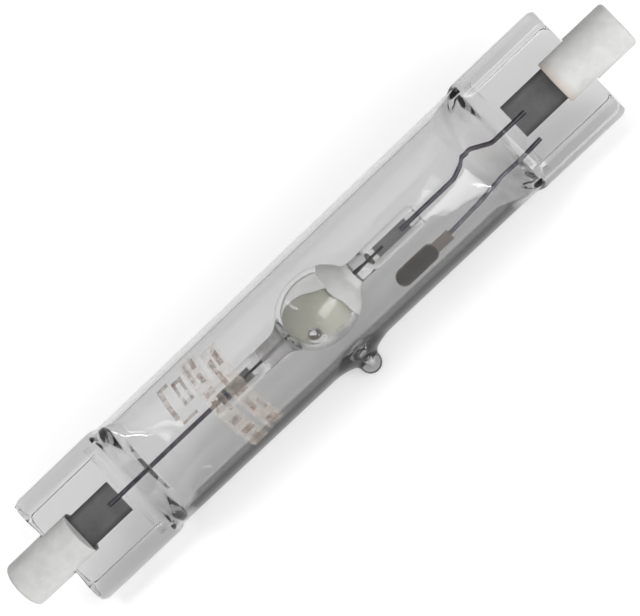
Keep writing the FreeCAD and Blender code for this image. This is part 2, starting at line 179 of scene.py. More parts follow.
def jaw(inset=0.0):
    crest = np.array([CREST_X, CREST_Z])
    shoulder = np.array([ROUND_END, R])
    above = shoulder + (shoulder - crest)
    flat = np.array([FLAT_START, WEB / 2])
    end = np.array([PINCH_END + 1, WEB / 2])
    if inset == 0:
        return smooth_path([[0, above[1]], above, crest, flat, end], [CREST_BEND, CREST_BEND, FLAT_BEND])

    def corner(a, b, c):
        u = (b - a) / np.linalg.norm(b - a)
        v = (c - b) / np.linalg.norm(c - b)
        nu, nv = np.array([u[1], -u[0]]), np.array([v[1], -v[0]])
        return b + (nu + nv) * inset / (1 + nu @ nv)

    top = corner(above, crest, flat)
    upper = above + (top - crest)
    bend = CREST_BEND - inset
    slope = (flat - crest) / np.linalg.norm(flat - crest)
    knee = top + slope * ((top[1] - 1.25) / -slope[1])
    return smooth_path([[0, upper[1]], upper, top, knee, [44.6, 0.0]], [bend, bend, 3.0])


def half_outline(x, radius, path, blend, beads):
    h = float(np.interp(x, path[:, 0], path[:, 1]))
    a = np.linspace(0, math.pi, 900)
    if not beads:
        later = x + 1.7 * (np.abs(np.cos(a)) ** 3)
        h = np.where(later < path[-1][0], np.interp(later, path[:, 0], path[:, 1]), 0.0)
    w = radius
    wp = 0.0
    if beads and x > BEAD_START:
        t = x - BEAD_START
        c = 2.8
        wp = PW / 2 - (c - math.sqrt(max(c * c - (c - min(t, c)) ** 2, 0)))
        e = PINCH_END - x
        c = 1.1
        wp -= c - math.sqrt(max(c * c - (c - min(max(e, 0), c)) ** 2, 0))
        w = max(radius, wp)
    a = np.linspace(0, math.pi, 900)
    y = w * np.cos(a)
    circle = np.sqrt(np.maximum(radius ** 2 - y ** 2, 0))
    k = blend * np.clip((h - WEB / 2) / 6.0, 0.06, 1.0)
    z = softmin(circle, h + 0 * y, k)
    z = np.maximum(np.minimum(z, circle), 0)
    if wp:
        edge = np.abs(y)
        inner = wp - BEAD_W
        rise = np.clip((edge - (inner - 0.6)) / 1.0, 0, 1)
        top = WEB / 2 + (BEAD - WEB) / 2 * (rise * rise * (3 - 2 * rise))
        rr = 1.3
        out = np.clip(edge - (wp - rr), 0, rr)
        rounding = rr - np.sqrt(np.maximum(rr * rr - out * out, 0))
        zp = np.where(edge <= wp, np.maximum(top - rounding, 0), 0)
        zp = np.where(edge > wp - 1e-9, 0, zp)
        z = np.maximum(z, zp)
    z[0] = z[-1] = 0
    return y, z


def ring(x, outline, n):
    y, z = section(outline, n)
    return np.stack([np.full(n, x), y, z], 1)


def tip_profile(centre, r, flare, angle):
    """(lateral, height above the axis) from the drop's end down to its waist."""
    a = math.radians(angle)
    pts = [[r * math.sin(t), centre + r * math.cos(t)] for t in np.linspace(0, math.pi / 2, 30)]
    for t in np.linspace(0, a, 14)[1:]:
        pts.append([r + flare - flare * math.cos(t), centre - flare * math.sin(t)])
    return np.array(pts)


def map_tip(points, x0, base_r, profile, reach):
    """Moves the points of a round skin near the tip's axis (towards -Y at x0) onto the tip's outline."""
    p = points.copy()
    near = p[:, 1] < 0
    ang = np.arctan2(p[:, 2], -p[:, 1]) * base_r
    dx = p[:, 0] - x0
    rho = np.hypot(dx, ang)
    sel = near & (rho < reach)
    if not sel.any():
        return p
    d = np.hypot(np.diff(profile[:, 0]), np.diff(profile[:, 1]))
    s = np.concatenate([[0], np.cumsum(d)])
    t = rho[sel] / reach
    t = t ** 0.9
    lat = np.interp(t * s[-1], s, profile[:, 0])
    hgt = np.interp(t * s[-1], s, profile[:, 1])
    away = np.maximum(rho[sel], 1e-9)
    ux = np.where(rho[sel] > 1e-9, dx[sel] / away, 1)
    uz = ang[sel] / away
    # profile height is along -Y on the tip's axis; at the foot it lies on the round surface
    X = x0 + ux * lat
    Z = uz * lat
    round_drop = base_r - np.sqrt(np.maximum(base_r ** 2 - Z ** 2, 0))
    w = np.clip((t - 0.35) / 0.65, 0, 1)
    p[sel, 0] = X
    p[sel, 2] = Z
    p[sel, 1] = -(hgt - round_drop * w * w * (3 - 2 * w))
    return p


def stations(*runs):
    """Places along X, in order, from runs of (first, last, count)."""
    xs = set()
    for first, last, count in runs:
        xs |= set(np.round(np.linspace(first, last, count), 4))
    return sorted(xs)


def sweep(start, foot, start_slope, foot_slope, count):
    """Points after start on a cubic curve to foot with the given slopes at its ends."""
    u = np.linspace(0, 1, count)[1:, None]
    return ((2 * u ** 3 - 3 * u ** 2 + 1) * start + (u ** 3 - 2 * u ** 2 + u) * np.array(start_slope)
            + (-2 * u ** 3 + 3 * u ** 2) * foot + (u ** 3 - u ** 2) * np.array(foot_slope))


def falling(degrees, length):
    """Slope of the given length, turned down from the lateral direction's normal by degrees."""
    a = math.radians(degrees)
    return np.array([math.sin(a), -math.cos(a)]) * length


def outer_tip_profile():
    drop = tip_profile(R + TIP_HEIGHT - TIP_R, TIP_R, 1.0, 62)
    foot = np.array([6.4, R])
    return np.concatenate([drop, sweep(drop[-1], foot, falling(62, 2.6), [3.6, 0], 24)]), foot[0]


def inner_tip_profile():
    hole = np.array([[0.0, R + 2.1], [0.25, R + 1.7], [0.55, R + 0.7], [0.95, R - 0.5]])
    foot = np.array([3.4, R - WALL])
    return np.concatenate([hole, sweep(hole[-1], foot, [0.8, -1.2], [2.4, 0], 14)]), foot[0]


def jacket():
    n = 192
    path = jaw()
    inner_end = ROUND_END - 1
    xs = stations((-PINCH_END, -inner_end, 62), (inner_end, PINCH_END, 62), (-inner_end, inner_end, 34),
                  (TIP_PLACE - 6.2, TIP_PLACE + 6.2, 52))
    rings = []
    for x in xs:
        rings.append(ring(x, half_outline(min(abs(x), PINCH_END - 0.02), R, path, PRESS_BLEND, True), n))
    outer = np.concatenate(rings)
    prof, reach = outer_tip_profile()
    outer = map_tip(outer, TIP_PLACE, R, prof, reach)
    rings = [outer[i * n:(i + 1) * n] for i in range(len(xs))]
    out = skin(rings)
    path = jaw(WALL)
    end = path[-1][0] - 0.03
    m = 192
    inner_end = ROUND_END - 1.5
    xs = stations((-end, -inner_end, 56), (inner_end, end, 56), (-inner_end, inner_end, 24),
                  (TIP_PLACE - 3.3, TIP_PLACE + 3.3, 24))
    rings = [ring(x, half_outline(abs(x), R - WALL, path, PRESS_BLEND, False), m) for x in xs]
    inner = np.concatenate(rings)
    prof, reach = inner_tip_profile()
    inner = map_tip(inner, TIP_PLACE, R - WALL, prof, reach)
    rings = [inner[i * m:(i + 1) * m] for i in range(len(xs))]
    return merged(out, skin(rings, flip=True))


# Burner

BM, BHL, BR, BTURN, BWALL = 1.15, 7.75, 6.45, 60.0, 1.1


def ball(inset):
    reach, radius = BHL - inset, BR - inset
    fan = math.tan(math.radians(45 - BTURN / 2))
    er = (radius - reach * fan) / (1 - fan)
    eo = reach - er
    lr = er + eo / math.cos(math.radians(BTURN))
    return eo, er, radius - lr, lr


def ball_radius(x, inset=0.0):
    """Radius of the ball at x (lamp coordinate)."""
    eo, er, ty, lr = ball(inset)
    d = abs(x - BM)
    lim = lr * math.cos(math.radians(BTURN))
    if d <= lim:
        return ty + math.sqrt(lr * lr - d * d)
    d -= eo
    return math.sqrt(max(er * er - d * d, 0))


def burner_radius(x):
    """Outside radius of the burner's round part with its necks."""
    neck = 2.1
    eo, er, _, _ = ball(0)
    left = x < BM
    blend = 4.2 if left else 1.6
    meet = math.asin((neck + blend) / (er + blend))
    away = (er + blend) * math.cos(meet)
    d = abs(x - BM) - eo
    if d > away:
        return neck
    touch = er * math.cos(meet)
    if d <= touch:
        return ball_radius(x)
    return neck + blend - math.sqrt(max(blend ** 2 - (away - d) ** 2, 0))


def burner_outline(x):
    left = x < 0
    neck_end, end = (11.6, 23.2) if left else (11.4, 23.7)
    ax = abs(x)
    r = burner_radius(x)
    h = 99.0
    if ax > neck_end - 2:
        path = smooth_path([[neck_end - 2.0, 3.45], [neck_end + 2.0, 0.75], [40, 0.75]], [0.8])
        h = float(np.interp(ax, path[:, 0], path[:, 1]))
    w = r
    wp = 0
    start = neck_end + 1.0
    if ax > start:
        c = 0.9
        t = ax - start
        wp = 2.2 - (c - math.sqrt(max(c * c - (c - min(t, c)) ** 2, 0)))
        e = end - ax
        c = 0.5
        wp -= c - math.sqrt(max(c * c - (c - min(max(e, 0), c)) ** 2, 0))
        w = max(r, wp)
    a = np.linspace(0, math.pi, 500)
    y = w * np.cos(a)
    circle = np.sqrt(np.maximum(r * r - y * y, 0))
    z = np.maximum(np.minimum(softmin(circle, np.full_like(y, h), 0.25), circle), 0)
    if wp:
        edge = np.abs(y)
        rise = np.clip((edge - (wp - 1.25)) / 0.55, 0, 1)
        top = 0.75 + 0.35 * rise * rise * (3 - 2 * rise)
        rr = 0.4
        out = np.clip(edge - (wp - rr), 0, rr)
        rounding = rr - np.sqrt(np.maximum(rr * rr - out * out, 0))
        zp = np.where(edge < wp - 1e-9, np.maximum(top - rounding, 0), 0)
        z = np.maximum(z, zp)
    z[0] = z[-1] = 0
    return y, z


NUB_PLACE, NUB_TILT = -1.3, math.radians(64)


def roll(points, angle):
    p = points.copy()
    c, s = math.cos(angle), math.sin(angle)
    p[:, 1], p[:, 2] = points[:, 1] * c - points[:, 2] * s, points[:, 1] * s + points[:, 2] * c
    return p


def burner():
    n = 128
    xs = stations((-23.2, -9.5, 44), (-9.5, 11, 64), (11, 23.7, 44), (NUB_PLACE - 2.4, NUB_PLACE + 2.4, 26))
    rings = []
    for x in xs:
        xx = min(max(x, -23.18), 23.68)
        rings.append(ring(x, burner_outline(xx), n))
    p = np.concatenate(rings)
    p = roll(p, NUB_TILT)
    base = burner_radius(NUB_PLACE)
    pr = tip_profile(base + 0.95 - 0.85, 0.85, 0.5, 50)
    foot = np.array([2.3, base])
    pr = np.concatenate([pr, sweep(pr[-1], foot, falling(50, 0.6), [0.9, -0.1], 14)])
    q = map_tip(p, NUB_PLACE, base, pr, foot[0])
    moved = np.abs(q - p).max(1) > 1e-9
    # follow the ball's own curve along X at the foot
    fall = np.array([burner_radius(min(max(v, -23), 23)) for v in q[moved, 0]]) - base
    t = np.clip(np.hypot(q[moved, 0] - NUB_PLACE, q[moved, 2]) / foot[0], 0, 1)
    q[moved, 1] -= fall * t * t
    p = roll(q, -NUB_TILT)
    out = skin([p[i * n:(i + 1) * n] for i in range(len(xs))])
    lo, hi = BM - (BHL - BWALL), BM + (BHL - BWALL)
    along = BM + (BHL - BWALL) * np.sin(np.linspace(-math.pi / 2, math.pi / 2, 60))[1:-1]
    prof = [[lo, 0]] + [[x, ball_radius(x, BWALL)] for x in along] + [[hi, 0]]
    return merged(out, turned(prof, 96, flip=True))


# Metal and ceramic pieces

def tube_along(points, radius, n=14, closed=True):
    """Round wire along a polyline, each ring turned only as far as the path bends."""
    P = np.array(points, float)
    T = np.gradient(P, axis=0)
    T /= np.linalg.norm(T, axis=1)[:, None]
    up = np.array([0, 0, 1.0])
    if abs(T[0] @ up) > 0.9:
        up = np.array([0, 1.0, 0])
    rings = []
    side = np.cross(T[0], up)
    side /= np.linalg.norm(side)
    for p, t in zip(P, T):
        side = side - t * (side @ t)
        side /= np.linalg.norm(side)
        nrm = np.cross(t, side)
        a = np.arange(n) * 2 * math.pi / n
        r = radius if np.isscalar(radius) else radius[len(rings)]
        rings.append(p + r * (np.cos(a)[:, None] * side + np.sin(a)[:, None] * nrm))
    return skin(rings, closed)


def flattened(mesh, start, end, floor):
    """The wire's stretch from start to end pressed down to the height floor, as where it laps its foil."""
    p, f = mesh
    p = p.copy()
    sel = (p[:, 0] > start) & (p[:, 0] < end)
    p[sel, 2] = np.maximum(p[sel, 2], floor)
    return p, f


def cap_outline():
    """Outline (x, r) of a ceramic cap, worn round at its outer end, with its recess and bore."""
    r, start, end = 4.35, 54.5, 68.5
    soft = 0.75
    rim = [[end - soft + soft * math.sin(t), r - soft + soft * math.cos(t)]
           for t in np.linspace(0, math.pi / 2, 8)]
    face = [[start, 0.0], [start, r - 0.12], [start + 0.12, r]]
    recess = [[end, 2.65], [end - 0.15, 2.5], [65.7, 2.5], [65.7, 2.0], [60.0, 2.0], [60.0, 0.0]]
    return face + rim + recess


def boolean_cut(obj, cutters):
    for c in cutters:
        mod = obj.modifiers.new("cut", "BOOLEAN")
        mod.operation = "DIFFERENCE"
        mod.solver = "EXACT"
        mod.object = c
    deps = bpy.context.evaluated_depsgraph_get()
    me = bpy.data.meshes.new_from_object(obj.evaluated_get(deps))
    obj.modifiers.clear()
    old = obj.data
    obj.data = me
    bpy.data.meshes.remove(old)
    for c in cutters:
        bpy.data.objects.remove(c, do_unlink=True)
    return obj


def box_mesh(x0, x1, y0, y1, z0, z1):
    p = [[x, y, z] for x in (x0, x1) for y in (y0, y1) for z in (z0, z1)]
    f = [[0, 1, 3, 2], [4, 6, 7, 5], [0, 4, 5, 1], [2, 3, 7, 6], [0, 2, 6, 4], [1, 5, 7, 3]]
    return np.array(p, float), f


def flipped_x(mesh):
    p, f = mesh
    p = np.asarray(p).copy()
    p[:, 0] *= -1
    return p, [g[::-1] for g in f]


# Materials

def new_mat(name):
    m = bpy.data.materials.new(name)
    m.use_nodes = True
    nt = m.node_tree
    b = nt.nodes["Principled BSDF"]
    return m, nt, b


def node(nt, kind, **inputs):
    n = nt.nodes.new(kind)
    for k, v in inputs.items():
        n.inputs[k.replace("_", " ")].default_value = v
    return n


def lamp_coords(nt):
    """Object coordinates turned back in the lamp's own frame, in millimetres."""
    tc = nt.nodes.new("ShaderNodeTexCoord")
    mp = nt.nodes.new("ShaderNodeMapping")
    mp.vector_type = "POINT"
    mp.inputs["Location"].default_value = (0, -R * ST, -R * CT)
    mp.inputs["Rotation"].default_value = (-TILT, 0, 0)
    mp.inputs["Scale"].default_value = (1000, 1000, 1000)
    nt.links.new(tc.outputs["Object"], mp.inputs["Vector"])
    sep = nt.nodes.new("ShaderNodeSeparateXYZ")
    nt.links.new(mp.outputs["Vector"], sep.inputs[0])
    return mp, sep


def ramp(nt, fac, stops, interp="LINEAR"):
    r = nt.nodes.new("ShaderNodeValToRGB")
    r.color_ramp.interpolation = interp
    el = r.color_ramp.elements
    while len(el) < len(stops):
        el.new(0.5)
    for e, (p, c) in zip(el, stops):
        e.position = p
        e.color = c if len(c) == 4 else (*c, 1)
    nt.links.new(fac, r.inputs["Fac"])
    return r


def noise(nt, vec, scale, detail=3, rough=0.5):
    n = node(nt, "ShaderNodeTexNoise", Scale=scale, Detail=detail, Roughness=rough)
    nt.links.new(vec, n.inputs["Vector"])
    return n


def mapr(nt, value, a, b, c, d):
    n = node(nt, "ShaderNodeMapRange")
    n.inputs["From Min"].default_value = a
    n.inputs["From Max"].default_value = b
    n.inputs["To Min"].default_value = c
    n.inputs["To Max"].default_value = d
    nt.links.new(value, n.inputs["Value"])
    return n


def calc(nt, operation, *values):
    """Math node; each value is an output, and its result comes back."""
    n = nt.nodes.new("ShaderNodeMath")
    n.operation = operation
    for value, socket in zip(values, n.inputs):
        nt.links.new(value, socket)
    return n.outputs[0]


def mixed_in(nt, b, mode, colour):
    """Mixes a colour output over what now drives the shader's base colour."""
    mix = nt.nodes.new("ShaderNodeMix")
    mix.data_type = "RGBA"
    mix.blend_type = mode
    mix.inputs["Factor"].default_value = 1.0
    nt.links.new(b.inputs["Base Color"].links[0].from_socket, mix.inputs["A"])
    nt.links.new(colour, mix.inputs["B"])
    nt.links.new(mix.outputs["Result"], b.inputs["Base Color"])


def grain(nt, b, vec, scale, dark, light, low=0.3, high=0.7, rough=0.6, detail=4):
    """Base colour between dark and light by a noise of the given scale."""
    n = noise(nt, vec, scale, detail, rough)
    r = ramp(nt, n.outputs["Fac"], [(low, dark), (high, light)])
    nt.links.new(r.outputs["Color"], b.inputs["Base Color"])


def bump(nt, b, height, strength, distance):
    n = node(nt, "ShaderNodeBump", Strength=strength, Distance=distance)
    nt.links.new(height, n.inputs["Height"])
    nt.links.new(n.outputs["Normal"], b.inputs["Normal"])
    return n


def quartz(name, base, density, tint, rough=0.0):
    m, nt, b = new_mat(name)
    b.inputs["Transmission Weight"].default_value = 1.0
    b.inputs["IOR"].default_value = 1.46
    b.inputs["Roughness"].default_value = rough
    b.inputs["Specular IOR Level"].default_value = 0.25
    b.inputs["Base Color"].default_value = (*base, 1)
    if density:
        v = nt.nodes.new("ShaderNodeVolumeAbsorption")
        v.inputs["Color"].default_value = (*tint, 1)
        v.inputs["Density"].default_value = density
        out = nt.nodes["Material Output"]
        nt.links.new(v.outputs["Volume"], out.inputs["Volume"])
    return m, nt, b


def metal(name, dark, light, rough, scale=0.6, metallic=1.0):
    m, nt, b = new_mat(name)
    mp, sep = lamp_coords(nt)
    grain(nt, b, mp.outputs["Vector"], scale, dark, light)
    b.inputs["Metallic"].default_value = metallic
    b.inputs["Roughness"].default_value = rough
    return m, nt, b, mp, sep


def ceramic(name, tint_end):
    """White unglazed ceramic with a faint grain, warmer at its inner end where asked."""
    m, nt, b = new_mat(name)
    mp, sep = lamp_coords(nt)
    grain(nt, b, mp.outputs["Vector"], 0.35, (0.40, 0.40, 0.395), (0.52, 0.52, 0.51), 0.22, 0.78, detail=5)
    if tint_end:
        mix = nt.nodes.new("ShaderNodeMix")
        mix.data_type = "RGBA"
        edge = mapr(nt, sep.outputs["X"], 54.4, 56.4, tint_end, 0.0)
        nt.links.new(edge.outputs["Result"], mix.inputs["Factor"])
        nt.links.new(b.inputs["Base Color"].links[0].from_socket, mix.inputs["A"])
        mix.inputs["B"].default_value = (0.33, 0.22, 0.14, 1)
        nt.links.new(mix.outputs["Result"], b.inputs["Base Color"])
    b.inputs["Roughness"].default_value = 0.62
    fine = noise(nt, mp.outputs["Vector"], 6, 3, 0.6)
    bump(nt, b, fine.outputs["Fac"], 0.12, 0.0002)
    return m


# Build

GLASS_BASE = (0.985, 0.985, 0.985)
jacket_mat, nt, b = quartz("jacket_quartz", GLASS_BASE, 265.0, (0.50, 0.50, 0.50))
# painted shade: the glass's base colour goes near black where it is seen edge on along the tube's lower
# side, between the pinches, in place of the dark line that the glass's refraction and reflection give there
_, sep = lamp_coords(nt)
weight = node(nt, "ShaderNodeLayerWeight", Blend=0.5)
edge_on = mapr(nt, weight.outputs["Facing"], 0.40, 0.52, 0.0, 1.0)
low_side = mapr(nt, sep.outputs["Y"], -7.9, -8.7, 0.0, 1.0)
between = mapr(nt, calc(nt, "ABSOLUTE", sep.outputs["X"]), 36.0, 40.0, 1.0, 0.0)
painted_edge_shade = calc(nt, "MULTIPLY", edge_on.outputs["Result"], low_side.outputs["Result"])
painted_edge_shade = calc(nt, "MULTIPLY", painted_edge_shade, between.outputs["Result"])
# painted shade: the ramp darkens the glass's base colour by the edge-on mask above
tint = ramp(nt, painted_edge_shade, [(0.0, GLASS_BASE), (1.0, (0.01, 0.01, 0.01))])
nt.links.new(tint.outputs["Color"], b.inputs["Base Color"])
jacket_obj = mesh_object("jacket_glass", *jacket())
soft_edges(jacket_obj, 50)
jacket_obj.data.materials.append(jacket_mat)
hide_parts("outer_jacket")

burner_mat, _, _ = quartz("burner_quartz", (0.985, 0.985, 0.98), 12.0, (0.50, 0.50, 0.50), 0.07)
burner_obj = mesh_object("burner_glass", *burner())
soft_edges(burner_obj, 50)
burner_obj.data.materials.append(burner_mat)
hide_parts("burner_vessel")

cap_left_mat = ceramic("ceramic_left", 0.0)
cap_right_mat = ceramic("ceramic_right", 0.5)
for sign, side, mat in ((1, "right", cap_right_mat), (-1, "left", cap_left_mat)):
    m = turned(cap_outline(), 96)
    cut = box_mesh(54.0, 60.0, -5, 5, -1.65, 1.65)
    if sign < 0:
        m, cut = flipped_x(m), flipped_x(cut)
    obj = mesh_object("cap_" + side, *m)
    cutter = mesh_object("slot_" + side, *cut, smooth=False)
    boolean_cut(obj, [cutter])
    obj.data.polygons.foreach_set("use_smooth", [True] * len(obj.data.polygons))
    soft_edges(obj, 35)
    obj.data.materials.clear()
    obj.data.materials.append(mat)
    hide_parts("ceramic_cap_" + side)
    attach(obj, "root")

# wires
lead_mat = metal("lead_metal", (0.09, 0.08, 0.10), (0.20, 0.18, 0.21), 0.42)[0]
foil_mat, nt, b, _, sep = metal("foil_metal", (0.26, 0.26, 0.265), (0.36, 0.36, 0.365), 0.75, 0.3, 0.6)
from_middle = mapr(nt, calc(nt, "ABSOLUTE", sep.outputs["Y"]), 2.2, 3.25, 0.0, 1.0)
foil_edges = ramp(nt, from_middle.outputs["Result"], [(0.0, (1, 1, 1)), (1.0, (0.45, 0.42, 0.42))])
mixed_in(nt, b, "MULTIPLY", foil_edges.outputs["Color"])
inner_foil_mat = metal("inner_foil", (0.36, 0.36, 0.36), (0.46, 0.46, 0.46), 0.6, 0.5, 0.5)[0]
tungsten_mat = metal("tungsten_metal", (0.07, 0.07, 0.07), (0.14, 0.14, 0.14), 0.5)[0]
contact_mat = metal("contact_metal", (0.50, 0.48, 0.44), (0.66, 0.64, 0.60), 0.35)[0]
getter_mat, nt, b, _, sep = metal(
    "getter_metal", (0.004, 0.003, 0.0025), (0.016, 0.011, 0.009), 0.35, 0.7, 0.0)
b.inputs["Specular IOR Level"].default_value = 0.12
# tan towards the rim of the tray, by the distance from its middle in half lengths and half widths
oval = nt.nodes.new("ShaderNodeCombineXYZ")
for axis, first, last in (("X", 13.3, 21.9), ("Y", -7.75, -4.45)):
    share = mapr(nt, sep.outputs[axis], first, last, -1.0, 1.0)
    share.clamp = False
    nt.links.new(share.outputs["Result"], oval.inputs[axis])
reach = nt.nodes.new("ShaderNodeVectorMath")
reach.operation = "LENGTH"
nt.links.new(oval.outputs["Vector"], reach.inputs[0])
rim_tone = ramp(nt, mapr(nt, reach.outputs["Value"], 0.0, 2.0, 0.0, 1.0).outputs["Result"],
                [(0.36, (0, 0, 0)), (0.47, (0.14, 0.105, 0.08)), (0.60, (0.20, 0.17, 0.145))])
mixed_in(nt, b, "ADD", rim_tone.outputs["Color"])
pellet_mat, _, b, _, _ = metal("pellet_powder", (0.003, 0.002, 0.0018), (0.030, 0.018, 0.012), 0.6, 0.9, 0.0)
b.inputs["Specular IOR Level"].default_value = 0.12
cement_mat = metal("cement_mineral", (0.30, 0.22, 0.16), (0.46, 0.37, 0.29), 0.9, 0.5, 0.0)[0]
salt_mat = metal("halide_salts", (0.97, 0.97, 0.78), (0.99, 0.98, 0.88), 0.8, 0.45, 0.0)[0]
mercury_mat = metal("mercury_liquid", (0.75, 0.76, 0.78), (0.8, 0.8, 0.82), 0.05)[0]

straight = [[x, 0, 0] for x in np.linspace(-47.8, -19.8, 60)]
left_lead = flattened(tube_along(straight, 0.4, 20), -21.6, -19.7, 0.03)
left_lead = flattened(left_lead, -48, -45.3, 0.04)
bent = smooth_path([[19.9, 0], [31.9, 0], [36.5, 1.9], [40.0, 0], [47.8, 0]], [2.6, 0.9, 2.6], 12)
seg = []
for a, b in zip(bent[:-1], bent[1:]):
    k = max(1, int(np.linalg.norm(b - a) / 0.5))
    for i in range(k):
        seg.append(a + (b - a) * i / k)
seg.append(bent[-1])
bent = np.array([[p[0], p[1], 0] for p in seg])
right_lead = flattened(tube_along(bent, 0.4, 20), 19.7, 21.6, 0.03)
right_lead = flattened(right_lead, 45.3, 48, 0.04)
for side, m in (("left", left_lead), ("right", right_lead)):
    obj = mesh_object("lead_wire_" + side, *m)
    soft_edges(obj, 60)
    obj.data.materials.append(lead_mat)
    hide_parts("lead_" + side)
    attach(obj, "root")

# electrode coils as wound wire
for sign, side in ((1, "right"), (-1, "left")):
    start = BM + sign * 4.8
    t = np.linspace(0, 1, 120)
    turn = t * 2 * math.pi * 3.6
    helix = np.stack([start + sign * (0.16 + 1.08 * t), 0.41 * np.cos(turn), 0.41 * np.sin(turn)], 1)
    obj = mesh_object("coil_" + side, *tube_along(helix, 0.16, 10))
    obj.data.materials.append(tungsten_mat)
    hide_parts("electrode_coil_" + side)
    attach(obj, "root")

for obj in (jacket_obj, burner_obj):
    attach(obj, "root")

SHOW = {
    "burner_foil": inner_foil_mat, "seal_foil": foil_mat, "electrode_rod": tungsten_mat,
    "contact_pin": lead_mat, "cement": cement_mat, "contact_button": contact_mat,
}
for stem, mat in SHOW.items():
    for side in ("left", "right"):
        o = NODES[stem + "_" + side]
        o.data.materials.clear()
        o.data.materials.append(mat)
for name, mat in (("getter_holder", getter_mat), ("getter_pellet", pellet_mat), ("getter_wire", lead_mat),
                  ("mercury_bead", mercury_mat)):
    o = NODES[name]
    o.data.materials.clear()
    o.data.materials.append(mat)


def ball_patch(name, middle, size, depth, ragged, seed, rings=26, n=72):
    """Thin shell on the ball's wall round the direction middle, with a ragged edge."""
    rng = np.random.default_rng(seed)
    w = np.array(middle, float)
    w /= np.linalg.norm(w)
    u = np.cross(w, [1.0, 0, 0])
    u /= np.linalg.norm(u)
    v = np.cross(w, u)
    phase = rng.uniform(0, 2 * math.pi, 6)
    a = np.arange(n) * 2 * math.pi / n
    edge = 1 + sum(ragged / (k + 1) * np.sin((k + 2) * a + phase[k]) for k in range(6))

    def on_wall(d, inset):
        # farthest point of the ball's wall along the direction d from its middle
        lo, hi = np.zeros(len(d)), np.full(len(d), 12.0)
        for _ in range(30):
            m = (lo + hi) / 2
            q = d * m[:, None]
            r = np.hypot(q[:, 1], q[:, 2])
            lim = np.array([ball_radius(BM + x, inset) if abs(x) < BHL - inset else 0.0 for x in q[:, 0]])
            inside = r < lim
            lo, hi = np.where(inside, m, lo), np.where(inside, hi, m)
        return d * lo[:, None] + np.array([BM, 0, 0])

    def layer(inset, shrink):
        out = [on_wall(w[None], inset)]
        for i in range(1, rings + 1):
            t = size * i / rings * shrink
            ang = np.radians(t) * edge
            outward = np.cos(a)[:, None] * u + np.sin(a)[:, None] * v
            d = np.cos(ang)[:, None] * w + np.sin(ang)[:, None] * outward
            out.append(on_wall(d, inset))
        return out

    top, bottom = layer(BWALL + 0.01, 1.0), layer(BWALL + depth, 0.97)
    pts = np.concatenate(top + bottom)
    faces = []

    def disc(base, way):
        for j in range(n):
            faces.append([base, base + 1 + j, base + 1 + (j + 1) % n][::way])
        for i in range(rings - 1):
            b0, b1 = base + 1 + i * n, base + 1 + (i + 1) * n
            for j in range(n):
                k = (j + 1) % n
                faces.append([b0 + j, b1 + j, b1 + k, b0 + k][::way])
    half = 1 + rings * n
    disc(0, 1)
    disc(half, -1)
    e0, e1 = 1 + (rings - 1) * n, half + 1 + (rings - 1) * n
    for j in range(n):
        k = (j + 1) % n
        faces.append([e0 + j, e1 + j, e1 + k, e0 + k])
    return mesh_object(name, pts, faces)


# a brown spot in the salts behind the nub
nt = salt_mat.node_tree
mp, _ = lamp_coords(nt)
offset = nt.nodes.new("ShaderNodeVectorMath")
offset.operation = "SUBTRACT"
offset.inputs[1].default_value = (NUB_PLACE - 0.2, -3.0, 0)
nt.links.new(mp.outputs["Vector"], offset.inputs[0])
across = nt.nodes.new("ShaderNodeVectorMath")
across.operation = "MULTIPLY"
across.inputs[1].default_value = (1, 1, 0)
nt.links.new(offset.outputs["Vector"], across.inputs[0])
far = nt.nodes.new("ShaderNodeVectorMath")
far.operation = "LENGTH"
nt.links.new(across.outputs["Vector"], far.inputs[0])
spot = ramp(nt, mapr(nt, far.outputs["Value"], 0.0, 3.0, 0.0, 1.0).outputs["Result"],
            [(0.0, (0.20, 0.15, 0.09)), (0.26, (0.34, 0.29, 0.18)), (0.5, (1, 1, 1))])
mixed_in(nt, nt.nodes["Principled BSDF"], "MULTIPLY", spot.outputs["Color"])
salts = ball_patch("salts_film", (-0.17, -0.36, 0.92), 62, 0.22, 0.10, 4)
salts.data.materials.append(salt_mat)
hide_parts("halide_deposit")
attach(salts, "root")


def coat(name, xs, lift, mat):
    """Thin coat on the burner's outside between two places along X."""
    rings = []
    a = np.arange(72) * 2 * math.pi / 72
    wave = 0.22 * np.sin(3 * a + 1) + 0.12 * np.sin(7 * a)
    for x in np.linspace(xs[0], xs[1], 30):
        share = (x - xs[0]) / (xs[1] - xs[0])
        xx = x + wave * (1 - share if xs[0] > 0 else share)
        r = np.array([burner_radius(v) + lift for v in xx])
        rings.append(np.stack([xx, r * np.cos(a), r * np.sin(a)], 1))
    pts, faces = skin(rings, closed_ends=False)
    obj = mesh_object(name, pts, faces)
    obj.data.materials.append(mat)
    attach(obj, "root")
    return obj


# the second coat material is painted shade: the same white heat coat, coloured grey and half transparent for
# the burner's left end as if it lay in shade
coats = []
for name, dark, light in (("heat_coat_white", (0.86, 0.86, 0.85), (0.95, 0.95, 0.94)),
                          ("heat_coat_shaded", (0.52, 0.50, 0.50), (0.66, 0.64, 0.64))):
    mat, nt, b = new_mat(name)
    mp, _ = lamp_coords(nt)
    grain(nt, b, mp.outputs["Vector"], 0.7, dark, light)
    b.inputs["Roughness"].default_value = 0.85
    coats.append(mat)
b.inputs["Alpha"].default_value = 0.5
coat_mat, shaded_coat_mat = coats
coat("heat_coat_right", (5.4, 9.6), 0.04, coat_mat)
# painted shade: the left coat gets the grey, shaded copy of the white coat
coat("heat_coat_left", (-11.4, -5.6), 0.04, shaded_coat_mat)

# printed marks on the jacket: plain bars, blocks and an open square


